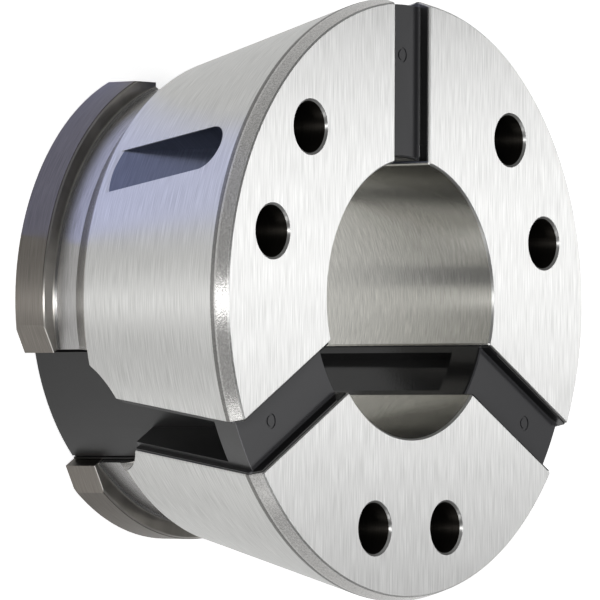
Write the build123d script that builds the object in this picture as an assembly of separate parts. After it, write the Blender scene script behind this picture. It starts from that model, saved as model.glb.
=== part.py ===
from build123d import *
from math import radians, sqrt, tan
import os

# Round collet head: three hardened steel segments, bonded side by side by three moulded rubber webs.
# The collet stands on its rear face, which is z = 0. Its axis is +Z and its front face looks up.
# +X runs through the middle of the keyed segment. Lengths are in millimetres, angles in degrees.

# Ring
overall_length = 50.3
bore_diameter = 44.45
rim_diameter = 96.5
segment_count = 3
slot_width = 9.35

# Front rim
rim_depth = 2.5
rim_taper = 0.75
rim_round = 1.6
face_edge_break = 0.25
bore_edge_break = 0.3
slot_edge_break = 0.2

# Clamping cone and the coupling behind it
cone_half_angle = 15.0
coupling_length = 14.9
cone_edge_break = 0.35
bevel_length = 4.4
bevel_drop = 3.46
neck_corner_break = 0.5
flange_thickness = 6.1
flange_height = 2.76
flange_edge_break = 0.3
flat_depth = 3.2

# Relief at the rear of each slot
relief_cutter_diameter = 20.8
relief_centre_height = 10.9
relief_wall = 4.8
flare_start_drop = 1.4
flare_angle = 30.0

# Wrench pin holes, two in each segment
pin_hole_diameter = 8.2
pin_hole_depth = 14.0
pin_hole_inset = 9.84
pin_hole_half_angle = 14.72
pin_hole_chamfer = 0.36
drill_point_angle = 118.0

# Keyway of the keyed segment
keyway_width = 7.8
keyway_front_setback = 6.9
keyway_floor_rise = 0.3

# Rubber webs
face_recess = 2.1
rear_recess = 0.5
cone_recess = 1.15
neck_recess = 0.9
bore_recess = 0.5
relief_clearance = 0.1
skin_thickness = 0.3
skin_recess = 0.35
skin_root = 2.3
bar_thickness = 5.4
bar_fillet = 0.5
bar_end_break = 0.9
pocket_wall = 1.1
pocket_corner = 1.5
inner_pocket_length = 32.5
inner_pocket_depth = 2.0
mark_diameter = 2.4
mark_line = 0.35
mark_depth = 0.15
mark_inset = 9.1
pad_margin = 0.7
pad_groove_width = 0.35
pad_groove_depth = 0.6

# Radii and heights that follow from the sizes above
bore_radius = bore_diameter / 2
rim_radius = rim_diameter / 2
rim_height = overall_length - rim_depth
face_radius = rim_radius - rim_taper
cone_drop = (rim_height - coupling_length) * tan(radians(cone_half_angle))
cone_end_radius = rim_radius - cone_drop
neck_radius = cone_end_radius - bevel_drop
neck_top = coupling_length - bevel_length
flange_radius = neck_radius + flange_height
flat_distance = flange_radius - flat_depth
pin_circle_radius = face_radius - pin_hole_inset
keyway_floor = cone_end_radius + keyway_floor_rise
half_slot = slot_width / 2
relief_radius = relief_cutter_diameter / 2
relief_floor = bore_radius + relief_wall
relief_mouth = relief_centre_height + sqrt(relief_radius**2 - half_slot**2)
bar_top = overall_length - face_recess
bar_back = bar_top - bar_thickness
web_radius = neck_radius - neck_recess
segment_pitch = 360 / segment_count
overrun = 5.0
reach = rim_radius + overrun


def section(*points):
    """Closed face in the plane through the axis, from (radius, height) points."""
    return Plane.XZ * make_face(Polyline(*points, close=True))


def corner_at(face, radius, height):
    """The section's corner nearest to (radius, height)."""
    return face.vertices().sort_by_distance((radius, 0, height))[0]


def sector(face, sweep):
    """A section swept around the axis, centred on +X."""
    return Rot(0, 0, -sweep / 2) * revolve(face, Axis.Z, revolution_arc=sweep)


def arch(half_width, centre_height):
    """Round-topped opening, drawn across the slot and open at the rear face."""
    tail = centre_height + overrun
    shape = Pos(0, centre_height) * Circle(half_width)
    shape += Pos(0, centre_height - tail / 2) * Rectangle(2 * half_width, tail)
    return Plane.YZ * shape


def segment_section():
    """Half section of the steel ring, from the rear bore edge outwards and back."""
    face = section(
        (bore_radius + bore_edge_break, 0),
        (flange_radius - flange_edge_break, 0),
        (flange_radius, flange_edge_break),
        (flange_radius, flange_thickness - flange_edge_break),
        (flange_radius - flange_edge_break, flange_thickness),
        (neck_radius, flange_thickness),
        (neck_radius, neck_top),
        (cone_end_radius, coupling_length),
        (rim_radius, rim_height),
        (face_radius, overall_length - face_edge_break),
        (face_radius - face_edge_break, overall_length),
        (bore_radius + bore_edge_break, overall_length),
        (bore_radius, overall_length - bore_edge_break),
        (bore_radius, bore_edge_break),
    )
    face = chamfer(corner_at(face, neck_radius, flange_thickness), neck_corner_break)
    face = chamfer(corner_at(face, cone_end_radius, coupling_length), cone_edge_break)
    return fillet(corner_at(face, rim_radius, rim_height), rim_round)


def slot_box(width):
    """Block of that width along a slot, from the axis outwards and past both end faces."""
    return Pos(reach / 2, 0, overall_length / 2) * Box(reach, width, overall_length + 2 * overrun)


def slotted_ring():
    """One segment of the ring between two slots along its ends, with the front edges of the slots broken."""
    body = sector(segment_section(), segment_pitch)
    for side in (-1, 1):
        body -= Rot(0, 0, side * segment_pitch / 2) * slot_box(slot_width)
    walls = body.faces().filter_by(GeomType.PLANE).filter_by(Axis.Z, reverse=True)
    edges = [edge for edge in walls.edges() if edge.bounding_box().max.Z > coupling_length + cone_edge_break]
    return chamfer(edges, slot_edge_break)


def rear_cutter():
    """All that is cut away behind the cone at one slot, which runs along +X."""
    return relief(relief_radius, relief_floor) + flared_mouth() + wrench_flat()


def relief(radius, floor):
    """Round-topped pocket milled from outside at the rear of a slot, down to a flat floor."""
    return Pos(floor, 0, 0) * extrude(arch(radius, relief_centre_height), reach - floor)


def flared_mouth():
    """Widening of the relief towards the outside, between the flange and the cone."""
    start = neck_radius - flare_start_drop
    spread = relief_radius + (reach - start) * tan(radians(flare_angle))
    outline = make_face(Polyline(
        (start, -relief_radius), (reach, -spread), (reach, spread), (start, relief_radius), close=True))
    return Pos(0, 0, flange_thickness) * extrude(outline, coupling_length - flange_thickness)


def wrench_flat():
    """Flat milled on the flange across each slot."""
    depth = reach - flat_distance
    height = flange_thickness + overrun
    return Pos(flat_distance + depth / 2, 0, flange_thickness - height / 2) * Box(depth, reach, height)


def pin_hole():
    """Blind hole for a wrench pin, drilled down from the front face at the origin."""
    radius = pin_hole_diameter / 2
    tip = radius / tan(radians(drill_point_angle / 2))
    mouth = radius + pin_hole_chamfer
    profile = section(
        (0, overrun), (mouth, overrun), (mouth, 0), (radius, -pin_hole_chamfer),
        (radius, -pin_hole_depth), (0, -pin_hole_depth - tip))
    return revolve(profile, Axis.Z)


def keyway():
    """Round-fronted groove with a flat floor, along +X at the middle of the cone."""
    half_width = keyway_width / 2
    centre_height = overall_length - keyway_front_setback - half_width
    return Pos(keyway_floor, 0, 0) * extrude(arch(half_width, centre_height), reach - keyway_floor)


def segment(keyed):
    """Steel segment centred on +X."""
    body = slotted_ring()
    for side in (-1, 1):
        body -= Rot(0, 0, side * segment_pitch / 2) * rear_cutter()
        place = Rot(0, 0, side * pin_hole_half_angle) * Pos(pin_circle_radius, 0, overall_length)
        body -= place * pin_hole()
    if keyed:
        body -= keyway()
    return body


def cone_radius(height):
    """Radius of the cone at a height, as far as its line runs on."""
    return rim_radius - (rim_height - height) * tan(radians(cone_half_angle))


def web_core():
    """Rubber that fills a slot, recessed from the steel on every side, before it is hollowed."""
    inner = bore_radius + bore_recess
    top = bar_top + bar_fillet
    face = section(
        (inner, rear_recess),
        (web_radius, rear_recess),
        (web_radius, relief_mouth),
        (cone_radius(relief_mouth) - cone_recess, relief_mouth),
        (cone_radius(top) - cone_recess, top),
        (inner + bar_end_break, top),
        (inner, top - bar_end_break),
    )
    footprint = relief(relief_radius - relief_clearance, relief_floor + relief_clearance)
    return sector(face, segment_pitch) & (footprint + slot_box(slot_width))


def front_channel():
    """Space in front of the bar, between the skins, with rounded bottom corners."""
    width = slot_width - 2 * skin_thickness
    outline = Pos(0, overrun) * Rectangle(width, 2 * overrun)
    outline = fillet(outline.vertices().group_by(Axis.Y)[0], bar_fillet)
    return Pos(0, 0, bar_top) * extrude(Plane.YZ * outline, reach)


def inner_pocket():
    """Shallow hollow behind the bar, open towards the bore."""
    floor = bore_radius + bore_recess + inner_pocket_depth
    outline = fillet(Rectangle(floor + overrun, inner_pocket_length).vertices(), pocket_corner)
    outline = Plane.XZ * Pos((floor - overrun) / 2, bar_back - inner_pocket_length / 2) * outline
    return extrude(outline, slot_width / 2 - pocket_wall, both=True)


def outer_pocket():
    """Hollow behind the bar, open to the outside, with the round block as its floor."""
    face = section(
        (web_radius, relief_mouth - overrun),
        (reach + overrun, relief_mouth - overrun),
        (reach + overrun, bar_back),
        (web_radius, bar_back),
    )
    face = fillet(corner_at(face, web_radius, bar_back), pocket_corner)
    return sector(face, segment_pitch) & slot_box(slot_width - 2 * pocket_wall)


def web_skins():
    """Thin lining from the web out to just under the edges of the steel."""
    top = overall_length - skin_recess
    face = section(
        (cone_radius(relief_mouth) - skin_root, relief_mouth),
        (cone_radius(relief_mouth) - skin_recess, relief_mouth),
        (rim_radius - skin_recess, rim_height),
        (face_radius - skin_recess, top),
        (bore_radius + bore_recess, top),
        (bore_radius + bore_recess, bar_top - bar_fillet),
        (rim_radius - skin_root, bar_top - bar_fillet),
    )
    return sector(face, segment_pitch) & (slot_box(slot_width) - slot_box(slot_width - 2 * skin_thickness))


def moulding_mark():
    """Ring left by the mould on the bar's front face."""
    ring = Circle(mark_diameter / 2) - Circle(mark_diameter / 2 - mark_line)
    place = Pos(rim_radius - mark_inset, 0, bar_top - mark_depth)
    return place * extrude(ring, overrun)


def pad_grooves():
    """Two grooves that set the outside of the block off from the walls of the relief."""
    across = relief_radius - pad_margin
    surface = sqrt(web_radius**2 - across**2)
    groove = Box(2 * overrun, pad_groove_width, relief_mouth)
    inwards = overrun + surface - pad_groove_depth
    return [Pos(inwards, side * across, relief_mouth / 2) * groove for side in (-1, 1)]


def web():
    """Rubber web of the slot that runs along +X."""
    body = web_core() - front_channel() + web_skins()
    body -= outer_pocket()
    body -= inner_pocket()
    body -= moulding_mark()
    for groove in pad_grooves():
        body -= groove
    return body


def save(part, name):
    export_step(part, f"parts/{name}.step")


def build():
    os.makedirs("parts", exist_ok=True)
    for index in range(segment_count):
        angle = index * segment_pitch
        save(Rot(0, 0, angle) * segment(keyed=index == 0), f"steel_segment_{index + 1}")
        save(Rot(0, 0, angle + segment_pitch / 2) * web(), f"rubber_web_{index + 1}")


build()
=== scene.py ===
from math import cos, pi, radians, sin, tan

import bpy
from mathutils import Euler, Matrix, Vector


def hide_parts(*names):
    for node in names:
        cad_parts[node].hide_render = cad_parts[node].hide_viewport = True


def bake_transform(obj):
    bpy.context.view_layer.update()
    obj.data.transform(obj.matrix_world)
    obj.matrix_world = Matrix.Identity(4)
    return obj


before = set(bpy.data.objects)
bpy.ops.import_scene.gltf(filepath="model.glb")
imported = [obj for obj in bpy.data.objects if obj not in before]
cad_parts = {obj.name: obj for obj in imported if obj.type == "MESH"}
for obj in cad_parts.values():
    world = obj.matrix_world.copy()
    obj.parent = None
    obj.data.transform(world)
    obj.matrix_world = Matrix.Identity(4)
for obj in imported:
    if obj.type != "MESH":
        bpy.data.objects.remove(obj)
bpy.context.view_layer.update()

# Round collet head: ground steel segments bonded by moulded rubber webs. All lengths are in metres.
MM = 0.001

# Sizes of the collet that the finishes follow
LENGTH = 50.3 * MM
BORE_RADIUS = 22.225 * MM
RIM_RADIUS = 48.25 * MM
RIM_HEIGHT = 47.8 * MM
CONE_HALF_ANGLE = radians(15)
COUPLING_LENGTH = 14.9 * MM
NECK_TOP = 10.5 * MM
FLANGE_THICKNESS = 6.1 * MM
HOLE_CIRCLE = 37.66 * MM
HOLE_ANGLE = radians(14.72)
HOLE_RADIUS = 4.1 * MM
BAR_TOP = 48.2 * MM
WEB_ANGLES = (60, 180, 300)
SEGMENT_COUNT = 3

# Where one finish of the steel gives way to the next, a hair past the edge that is meant
FACE_START = LENGTH - 0.05 * MM
FACE_BREAK_START = LENGTH - 0.37 * MM
FACE_BREAK_RADIUS = RIM_RADIUS - 0.74 * MM
RIM_START = RIM_HEIGHT - 0.75 * MM
RIM_INNER_RADIUS = RIM_RADIUS - 1.01 * MM
BORE_REACH = BORE_RADIUS + 0.32 * MM
CONE_START = COUPLING_LENGTH + 0.4 * MM
CONE_SKIN = 0.2 * MM
WALL_REACH = RIM_RADIUS - 2 * MM
HOLE_REACH = HOLE_RADIUS + 0.1 * MM
HOLE_BOTTOM = 30 * MM

# Finishes of the outside, each from its height upwards: height, colour, roughness
OUTSIDE_FINISHES = (
    (0.0, "#6E6A65", 0.42),                             # flange
    (FLANGE_THICKNESS - 0.32 * MM, "#B9B6B1", 0.30),    # front of the flange
    (FLANGE_THICKNESS + 0.1 * MM, "#9D9C9B", 0.27),     # neck
    (NECK_TOP, "#A3A19D", 0.24),                        # bevel
    (COUPLING_LENGTH, "#BDBDBB", 0.40),                 # cone
    # The band where the rim's rounding begins is painted darker: painted shade on the rounding
    (RIM_START, "#777674", 0.40),                       # line where the rim's rounding begins
    (RIM_HEIGHT + 0.05 * MM, "#A5A4A2", 0.26),          # rim
)
# Finishes of the other surfaces, a later one over an earlier one: zone, colour, roughness
ZONE_FINISHES = (
    # Walls of the slots, keyway, reliefs and holes are painted darker and bluish: painted shade in these
    # recesses and a painted blue reflection
    ("inside", "#666A76", 0.40),
    # The drilled holes are painted nearly black: painted shade inside them
    ("hole", "#3A3733", 0.60),
    ("bore", "#CAC9C4", 0.26),
    ("face_break", "#D2D2D0", 0.36),
    ("face", "#CDCDCC", 0.40),
)

# The face was ground in straight strokes, which run in this direction seen from above
GRIND_ANGLE = radians(-60)
# Grinding lines and blasted grain, as long and as wide as they are drawn
STROKE_LENGTH = 6 * MM
STROKE_WIDTH = 0.2 * MM
STROKES_PER_RADIAN = 8.0
BLAST_GRAIN = 0.3 * MM
BLAST_DEPTH = 4.0
MARK_DEPTH = 0.01 * MM
MARK_CONTRAST = 0.17
# A noise texture lies nearly all between these two
NOISE_LOW, NOISE_HIGH = 0.3, 0.7

# The rubber: grain of the mould, patches of more and less sheen, and how far the core pin's polish reaches
MOULD_GRAIN = 0.35 * MM
MOULD_GRAIN_DEPTH = 0.03 * MM
SHEEN_PATCH = 9 * MM
POLISH_REACH = BORE_RADIUS + 3 * MM
BAR_FRONT_SKIN = 0.2 * MM

# A half web: how it is merged, cut and smoothed
MERGE_DISTANCE = 0.001 * MM
CUT_TOLERANCE = 0.0005 * MM
SMOOTH_ANGLE = radians(30)

# Soft boxes, which stand around the middle: name, azimuth, elevation, width and height in degrees, radiance
MIDDLE = Vector((0, 0, LENGTH / 2))
LIGHT_DISTANCE = 0.8
SOFT_BOXES = (
    ("face_box", 215, 55, 14, 18, 8.7),
    ("face_fill", 201, 55, 14, 18, 2.4),
    ("front_strip", 31, 18, 9, 28, 9.6),
    ("upper_strip", 31, 53, 6, 12, 10.5),
    ("side_strip", 77, 12, 20, 16, 6.6),
    ("edge_strip", 100, 12, 10, 16, 2.6),
)
WORLD_STRENGTH = 0.15

# Cool card, which lies just over the floor beside the keyed segment
CARD_PLACE = Vector((77, -10, 0.3)) * MM
CARD_SIZE = (106 * MM, 40 * MM)
CARD_RADIANCE = 0.55

# Camera, taken from the photograph
CAMERA_PLACE = Vector((0.71269, 0.43852, 0.66829))
CAMERA_TARGET = Vector((-0.00304, -0.00205, 0.025))
CAMERA_ROLL = radians(89.263)
CAMERA_LENS = 391.2
SENSOR_WIDTH = 36.0
NEAREST, FARTHEST = 0.01, 20.0

FLOOR_SIZE = 6.0


def linear(hex_colour):
    """sRGB hex colour as linear red, green, blue and alpha."""
    channels = [int(hex_colour[i:i + 2], 16) / 255 for i in (1, 3, 5)]
    return [c / 12.92 if c <= 0.04045 else ((c + 0.055) / 1.055) ** 2.4 for c in channels] + [1.0]


def add(tree, kind, inputs=(), **settings):
    """Adds a node with its settings. An input takes a value, a socket, or a node for its first output."""
    node = tree.nodes.new(kind)
    for name, value in settings.items():
        setattr(node, name, value)
    for socket, value in dict(inputs).items():
        if isinstance(value, bpy.types.Node):
            value = value.outputs[0]
        if isinstance(value, bpy.types.NodeSocket):
            tree.links.new(value, node.inputs[socket])
        else:
            node.inputs[socket].default_value = value
    return node


def material(name):
    """A new material with an empty node tree."""
    made = bpy.data.materials.new(name)
    made.use_nodes = True
    made.node_tree.nodes.clear()
    return made


def off_axis(tree, place):
    """Distance of a place from the collet's axis."""
    flat = add(tree, "ShaderNodeVectorMath", {0: place, 1: (1, 1, 0)}, operation="MULTIPLY")
    return add(tree, "ShaderNodeVectorMath", {0: flat}, operation="LENGTH").outputs["Value"]


def steel_zones(tree, radius, height, angle):
    """Masks, 1 inside and 0 outside, for the surfaces of a segment that have a finish or painted shade of
    their own.
    """
    face = add(tree, "ShaderNodeMath", {0: height, 1: FACE_START}, operation="GREATER_THAN")
    bore = add(tree, "ShaderNodeMath", {0: radius, 1: BORE_REACH}, operation="LESS_THAN")

    upper = add(tree, "ShaderNodeMath", {0: height, 1: RIM_START}, operation="GREATER_THAN")
    outer = add(tree, "ShaderNodeMath", {0: radius, 1: RIM_INNER_RADIUS}, operation="GREATER_THAN")
    rim = add(tree, "ShaderNodeMath", {0: upper, 1: outer}, operation="MULTIPLY")

    # The breaks along the edges of the face, where it meets the bore, the slots, the holes and the rim
    front = add(tree, "ShaderNodeMath", {0: height, 1: FACE_BREAK_START}, operation="GREATER_THAN")
    inner = add(tree, "ShaderNodeMath", {0: radius, 1: FACE_BREAK_RADIUS}, operation="LESS_THAN")
    face_break = add(tree, "ShaderNodeMath", {0: front, 1: inner}, operation="MULTIPLY")

    # Everything under the cone's skin is a wall of a slot, the keyway, a relief or a hole
    drop = add(tree, "ShaderNodeMath", {0: height, 1: RIM_HEIGHT}, operation="SUBTRACT")
    line = add(tree, "ShaderNodeMath", {0: drop, 1: tan(CONE_HALF_ANGLE), 2: RIM_RADIUS - CONE_SKIN},
               operation="MULTIPLY_ADD")
    line = add(tree, "ShaderNodeMath", {0: line, 1: WALL_REACH}, operation="MINIMUM")
    under = add(tree, "ShaderNodeMath", {0: radius, 1: line}, operation="LESS_THAN")
    above = add(tree, "ShaderNodeMath", {0: height, 1: CONE_START}, operation="GREATER_THAN")
    inside = add(tree, "ShaderNodeMath", {0: under, 1: above}, operation="MULTIPLY")

    # The segments are folded onto each other and about their middle, so that one hole stands for all six
    fold = add(tree, "ShaderNodeMath", {0: angle, 1: pi / SEGMENT_COUNT}, operation="PINGPONG")
    unit = [add(tree, "ShaderNodeMath", {0: fold}, operation=kind) for kind in ("COSINE", "SINE")]
    spot = add(tree, "ShaderNodeCombineXYZ", {0: unit[0], 1: unit[1]})
    spot = add(tree, "ShaderNodeVectorMath", {0: spot, "Scale": radius}, operation="SCALE")
    centre = (HOLE_CIRCLE * cos(HOLE_ANGLE), HOLE_CIRCLE * sin(HOLE_ANGLE), 0)
    away = add(tree, "ShaderNodeVectorMath", {0: spot, 1: centre}, operation="DISTANCE").outputs["Value"]
    near = add(tree, "ShaderNodeMath", {0: away, 1: HOLE_REACH}, operation="LESS_THAN")
    high = add(tree, "ShaderNodeMath", {0: height, 1: HOLE_BOTTOM}, operation="GREATER_THAN")
    hole = add(tree, "ShaderNodeMath", {0: near, 1: high}, operation="MULTIPLY")
    return {"face": face, "bore": bore, "rim": rim, "face_break": face_break, "inside": inside, "hole": hole}


def machining_marks(tree, place, height, angle, zones):
    """Height of the fine marks, around 0.5: strokes on the face, grain on the rim, rings everywhere else."""
    # A grinding wheel's lines are some 0.05 mm apart and are drawn four times as coarse, so that they show
    turned = add(tree, "ShaderNodeVectorRotate", {0: place, "Axis": (0, 0, 1), "Angle": -GRIND_ANGLE})
    turned = add(tree, "ShaderNodeVectorMath", {0: turned, 1: (1 / STROKE_LENGTH, 1 / STROKE_WIDTH, 0)},
                 operation="MULTIPLY")
    strokes = add(tree, "ShaderNodeTexNoise", {"Vector": turned, "Scale": 1.0, "Detail": 3.0})
    # The cylindrical grinder leaves the same lines, but around the axis
    around = add(tree, "ShaderNodeCombineXYZ", {0: angle, 1: height})
    around = add(tree, "ShaderNodeVectorMath", {0: around, 1: (STROKES_PER_RADIAN, 1 / STROKE_WIDTH, 0)},
                 operation="MULTIPLY")
    rings = add(tree, "ShaderNodeTexNoise", {"Vector": around, "Scale": 1.0, "Detail": 3.0})
    # Blasting grit of some 0.1 mm, drawn three times as coarse for the same reason
    grain = add(tree, "ShaderNodeTexNoise", {"Vector": place, "Scale": 1 / BLAST_GRAIN, "Detail": 2.0})
    marks = add(tree, "ShaderNodeMix", {0: zones["rim"], 2: rings, 3: grain})
    return add(tree, "ShaderNodeMix", {0: zones["face"], 2: marks, 3: strokes})


def steel_finish(tree, height, zones):
    """Colour and roughness of the steel: the outside's by height, and over them the other surfaces'."""
    share = add(tree, "ShaderNodeMath", {0: height, 1: LENGTH}, operation="DIVIDE")
    colour = add(tree, "ShaderNodeValToRGB", {0: share})
    roughness = add(tree, "ShaderNodeValToRGB", {0: share})
    shades = [linear(finish[1]) for finish in OUTSIDE_FINISHES]
    greys = [3 * [finish[2]] + [1.0] for finish in OUTSIDE_FINISHES]
    for ramp, values in ((colour.color_ramp, shades), (roughness.color_ramp, greys)):
        ramp.interpolation = "CONSTANT"
        while len(ramp.elements) < len(values):
            ramp.elements.new(0.5)
        for element, finish, value in zip(ramp.elements, OUTSIDE_FINISHES, values):
            element.position = finish[0] / LENGTH
            element.color = value
    for zone, shade, matt in ZONE_FINISHES:
        colour = add(tree, "ShaderNodeMix", {0: zones[zone], 6: colour, 7: linear(shade)},
                     data_type="RGBA").outputs[2]
        roughness = add(tree, "ShaderNodeMix", {0: zones[zone], 2: roughness, 3: matt})
    return colour, roughness


def ground_steel():
    """The segments' finish."""
    # Hardened tool steel, bare. The grinding on the face, the cone and in the bore gives the eye fine lines
    # that smear each light across them. The blasted rim looks satin, and the turned neck and flange darker.
    made = material("hardened_ground_steel")
    tree = made.node_tree
    place = add(tree, "ShaderNodeTexCoord").outputs["Object"]
    axes = add(tree, "ShaderNodeSeparateXYZ", {0: place}).outputs
    height = axes["Z"]
    angle = add(tree, "ShaderNodeMath", {0: axes["Y"], 1: axes["X"]}, operation="ARCTAN2")
    zones = steel_zones(tree, off_axis(tree, place), height, angle)
    marks = machining_marks(tree, place, height, angle, zones)
    colour, roughness = steel_finish(tree, height, zones)

    # The marks show as slightly lighter and darker lines, and in relief, which blasting leaves deeper
    shine = add(tree, "ShaderNodeMapRange", {
        0: marks, 1: NOISE_LOW, 2: NOISE_HIGH, 3: 1 - MARK_CONTRAST, 4: 1 + MARK_CONTRAST})
    colour = add(tree, "ShaderNodeVectorMath", {0: colour, "Scale": shine}, operation="SCALE")
    depth = add(tree, "ShaderNodeMix", {0: zones["rim"], 2: 1.0, 3: BLAST_DEPTH})
    relief = add(tree, "ShaderNodeMath", {0: marks, 1: depth}, operation="MULTIPLY")
    bump = add(tree, "ShaderNodeBump", {"Strength": 0.5, "Distance": MARK_DEPTH, "Height": relief})

    # The lines spread the light across themselves: up and down the walls, sideways on the face
    sideways = (-sin(GRIND_ANGLE), cos(GRIND_ANGLE), 0)
    across = add(tree, "ShaderNodeMix", {0: zones["face"], 4: (0, 0, 1), 5: sideways}, data_type="VECTOR")
    shader = add(tree, "ShaderNodeBsdfPrincipled", {
        "Base Color": colour, "Metallic": 1.0, "Roughness": roughness, "Normal": bump,
        "Anisotropic": 0.95, "Tangent": across.outputs[1]})
    add(tree, "ShaderNodeOutputMaterial", {0: shader})
    return made


def moulded_rubber():
    """The webs' finish."""
    # Black nitrile rubber, moulded between the segments. It gives the eye a deep black with a faint, uneven
    # sheen. The bars' front took the matt skin of the mould's plate, which greys it a little, and its
    # lighter grey colour is painted light on the lit front. The side towards the bore took the polish of the
    # mould's core pin and looks wet.
    made = material("moulded_nitrile_rubber")
    tree = made.node_tree
    place = add(tree, "ShaderNodeTexCoord").outputs["Object"]
    height = add(tree, "ShaderNodeSeparateXYZ", {0: place}).outputs["Z"]
    front = add(tree, "ShaderNodeMath", {0: height, 1: BAR_TOP, 2: BAR_FRONT_SKIN}, operation="COMPARE")
    radius = off_axis(tree, place)
    polished = add(tree, "ShaderNodeMath", {0: radius, 1: POLISH_REACH}, operation="LESS_THAN")

    patches = add(tree, "ShaderNodeTexNoise", {"Vector": place, "Scale": 1 / SHEEN_PATCH, "Detail": 2.0})
    colour = add(tree, "ShaderNodeMix", {0: patches, 6: linear("#0E0E0E"), 7: linear("#151515")},
                 data_type="RGBA")
    # The bars' front is painted lighter grey: painted light on the lit front, over the matt skin's roughness
    colour = add(tree, "ShaderNodeMix", {0: front, 6: colour.outputs[2], 7: linear("#464649")},
                 data_type="RGBA")
    roughness = add(tree, "ShaderNodeMapRange", {0: patches, 3: 0.30, 4: 0.42})
    roughness = add(tree, "ShaderNodeMix", {0: polished, 2: roughness, 3: 0.16})
    roughness = add(tree, "ShaderNodeMix", {0: front, 2: roughness, 3: 0.40})
    # A mould's grain is some 0.1 mm across and is drawn three times as coarse, so that it just shows
    grain = add(tree, "ShaderNodeTexNoise", {"Vector": place, "Scale": 1 / MOULD_GRAIN, "Detail": 3.0})
    bump = add(tree, "ShaderNodeBump", {"Strength": 0.25, "Distance": MOULD_GRAIN_DEPTH, "Height": grain})
    shader = add(tree, "ShaderNodeBsdfPrincipled", {
        "Base Color": colour.outputs[2], "Roughness": roughness, "Normal": bump, "IOR": 1.5})
    add(tree, "ShaderNodeOutputMaterial", {0: shader})
    return made


def painted_board():
    """The floor's finish."""
    # Matt white painted board under full light. It gives the eye a floor that melts into the background.
    made = material("painted_board")
    shader = add(made.node_tree, "ShaderNodeBsdfPrincipled", {
        "Base Color": linear("#F7F7F7"), "Roughness": 0.9, "Emission Color": linear("#FFFFFF"),
        "Emission Strength": 0.8})
    add(made.node_tree, "ShaderNodeOutputMaterial", {0: shader})
    return made


def dress(thing, finish):
    """Puts a finish on all of a thing."""
    thing.data.materials.clear()
    thing.data.materials.append(finish)


def half_web(node, index, side, finish):
    """Half of a web, cut at the middle of its slot, where it stays put."""
    angle = radians(WEB_ANGLES[index])
    towards = side * Vector((-sin(angle), cos(angle), 0))
    name = f"{node}_{'left' if side < 0 else 'right'}"
    piece = bpy.data.objects.new(name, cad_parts[node].data.copy())
    piece.data.name = name
    bpy.context.scene.collection.objects.link(piece)
    bpy.ops.object.select_all(action="DESELECT")
    piece.select_set(True)
    bpy.context.view_layer.objects.active = piece
    bpy.ops.mesh.customdata_custom_splitnormals_clear()
    bpy.ops.object.mode_set(mode="EDIT")
    bpy.ops.mesh.select_all(action="SELECT")
    bpy.ops.mesh.remove_doubles(threshold=MERGE_DISTANCE)
    bpy.ops.mesh.bisect(plane_co=(0, 0, 0), plane_no=towards, use_fill=True, clear_inner=True,
                        threshold=CUT_TOLERANCE)
    bpy.ops.mesh.select_all(action="SELECT")
    bpy.ops.mesh.normals_make_consistent(inside=False)
    bpy.ops.object.mode_set(mode="OBJECT")
    bpy.ops.object.shade_smooth_by_angle(angle=SMOOTH_ANGLE)
    dress(piece, finish)
    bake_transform(piece)
    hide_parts(node)


def area_light(name, place, turn, size, radiance, colour):
    """Flat light that faces down before its turn, a quaternion. Size is its width and height in metres."""
    light = bpy.data.lights.new(name, "AREA")
    light.shape = "RECTANGLE"
    light.size, light.size_y = size
    light.energy = radiance * pi * size[0] * size[1]
    light.color = linear(colour)[:3]
    lamp = bpy.data.objects.new(name, light)
    lamp.location = place
    lamp.rotation_mode = "QUATERNION"
    lamp.rotation_quaternion = turn
    bpy.context.scene.collection.objects.link(lamp)
    return lamp


def light_scene():
    """Plain studio: soft boxes over the collet and opposite the camera, and a cool card beside it."""
    world = bpy.data.worlds.new("studio")
    world.use_nodes = True
    background = world.node_tree.nodes["Background"]
    background.inputs[0].default_value = linear("#FFFFFF")
    background.inputs[1].default_value = WORLD_STRENGTH
    bpy.context.scene.world = world
    for name, azimuth, elevation, wide, high, radiance in SOFT_BOXES:
        a, e = radians(azimuth), radians(elevation)
        place = MIDDLE + LIGHT_DISTANCE * Vector((cos(a) * cos(e), sin(a) * cos(e), sin(e)))
        width = 2 * LIGHT_DISTANCE * tan(radians(wide / 2)) * cos(e)
        height = 2 * LIGHT_DISTANCE * tan(radians(high / 2))
        turn = (MIDDLE - place).to_track_quat("-Z", "Y")
        area_light(name, place, turn, (width, height), radiance, "#FFFFFF")

    # The card looks up, and only its reflection in the steel is seen
    card = area_light("cool_card", CARD_PLACE, Euler((pi, 0, 0)).to_quaternion(), CARD_SIZE, CARD_RADIANCE,
                      "#0060FF")
    card.visible_camera = False


def floor():
    """Pale floor that the collet stands on."""
    bpy.ops.object.select_all(action="DESELECT")
    bpy.ops.mesh.primitive_plane_add(size=FLOOR_SIZE, location=(0, 0, 0))
    ground = bpy.context.active_object
    ground.name = "floor"
    dress(ground, painted_board())


def camera():
    """The photograph's view: from above the front face, turned on its side."""
    lens = bpy.data.cameras.new("camera")
    lens.lens = CAMERA_LENS
    lens.sensor_width = SENSOR_WIDTH
    lens.clip_start, lens.clip_end = NEAREST, FARTHEST
    seen = bpy.data.objects.new("camera", lens)
    level = (CAMERA_TARGET - CAMERA_PLACE).to_track_quat("-Z", "Y").to_matrix().to_4x4()
    seen.matrix_world = Matrix.Translation(CAMERA_PLACE) @ level @ Matrix.Rotation(CAMERA_ROLL, 4, "Z")
    bpy.context.scene.collection.objects.link(seen)
    bpy.context.scene.camera = seen


bpy.ops.object.select_all(action="DESELECT")
bpy.context.scene.view_settings.view_transform = "Standard"

steel = ground_steel()
rubber = moulded_rubber()
for number in range(1, SEGMENT_COUNT + 1):
    dress(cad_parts[f"steel_segment_{number}"], steel)
for order in range(SEGMENT_COUNT):
    for side in (-1, 1):
        half_web(f"rubber_web_{order + 1}", order, side, rubber)

floor()
light_scene()
camera()
